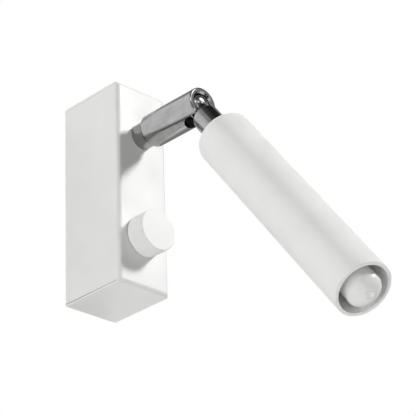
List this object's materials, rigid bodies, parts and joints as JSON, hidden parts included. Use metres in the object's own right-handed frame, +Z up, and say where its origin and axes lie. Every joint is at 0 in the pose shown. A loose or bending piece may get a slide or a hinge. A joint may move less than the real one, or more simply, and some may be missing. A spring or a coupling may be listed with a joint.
{
  "type": "pivoting spotlight wall light",
  "caption": "White wall light: a folded wall box with a dimmer knob and a chrome swivel arm that carries a tilting tube head with a domed capsule lamp.",
  "frame": {"origin": "middle of the wall bracket's back face, on the wall plane", "axes": "+Z up, -Y forward out of the wall, +X to the light's left side as it faces the room"},
  "size_m": [0.03, 0.1772, 0.158],
  "materials": {
    "white_paint": "fine matt powder coat",
    "chrome_plate": "satin chrome",
    "zinc_steel": "zinc plated",
    "spring_steel": "dark drawn wire and strip",
    "black_nylon": "matt moulded",
    "ivory_nylon": "moulded",
    "brass": "turned",
    "circuit_board": "lacquered board",
    "capacitor_case": "dipped",
    "choke_winding": "lacquered copper wire",
    "black_case": "moulded",
    "black_rubber": "matt",
    "brown_lead": "smooth insulation",
    "grey_lead": "smooth insulation",
    "blue_lead": "smooth insulation",
    "earth_lead": "smooth insulation",
    "white_silicone": "smooth insulation",
    "ceramic": "unglazed",
    "frosted_cover": "milky and glossy",
    "white_plastic": "moulded",
    "light_board": "white board with yellow light sources"
  },
  "bodies": {
    "wall_box": {"housing_cover": "white_paint", "cover_hook": "zinc_steel", "wall_bracket": "zinc_steel", "cover_screw": "zinc_steel", "cable_grommet": "black_rubber", "terminal_block": "ivory_nylon", "terminal_inserts": "brass", "terminal_screws": "zinc_steel", "terminal_fixing_screws": "zinc_steel", "earth_screw": "zinc_steel", "earth_lug": "zinc_steel", "dimmer_body": "black_case", "dimmer_bush": "zinc_steel", "dimmer_board": "circuit_board", "dimmer_capacitor": "capacitor_case", "dimmer_choke": "choke_winding", "dimmer_triac": "black_case", "dimmer_washer": "zinc_steel", "dimmer_nut": "zinc_steel", "live_lead": "brown_lead", "switched_lead": "grey_lead", "lamp_lead": "grey_lead", "neutral_lead": "blue_lead", "earth_lead": "earth_lead", "arm_spindle": "chrome_plate", "arm_washer": "zinc_steel", "arm_nut": "zinc_steel", "stop_pin": "spring_steel", "swivel_washer": "zinc_steel", "swivel_clip": "spring_steel", "thrust_washer": "zinc_steel"},
    "knob": {"knob": "white_paint", "dimmer_shaft": "zinc_steel"},
    "arm": {"swivel_barrel": "chrome_plate", "ball_cup": "black_nylon", "cup_spring": "spring_steel"},
    "head": {"ball_stem": "chrome_plate", "neck_sleeve": "chrome_plate", "head_tube": "white_paint", "head_cap": "white_paint", "lampholder_bracket": "zinc_steel", "head_washer": "zinc_steel", "head_nut": "zinc_steel", "lampholder": "ceramic", "holder_contacts": "brass", "holder_screws": "zinc_steel", "head_leads": "white_silicone", "bulb_cover": "frosted_cover", "bulb_base": "white_plastic", "bulb_pins": "zinc_steel", "led_core": "light_board"}
  },
  "joints": [
    {"name": "knob_turn", "type": "hinge", "parent": "wall_box", "child": "knob", "pos_m": [0, -0.0375, -0.0255], "axis": [0, -1, 0], "range_deg": [-135, 135]},
    {"name": "arm_swivel", "type": "hinge", "parent": "wall_box", "child": "arm", "pos_m": [0, -0.0438, 0.0263], "axis": [0, -1, 0], "range_deg": [-160, 160]},
    {"name": "head_tilt", "type": "hinge", "parent": "arm", "child": "head", "pos_m": [0, -0.0749, 0.0263], "axis": [1, 0, 0], "range_deg": [-63.3, 46.7]}
  ]
}
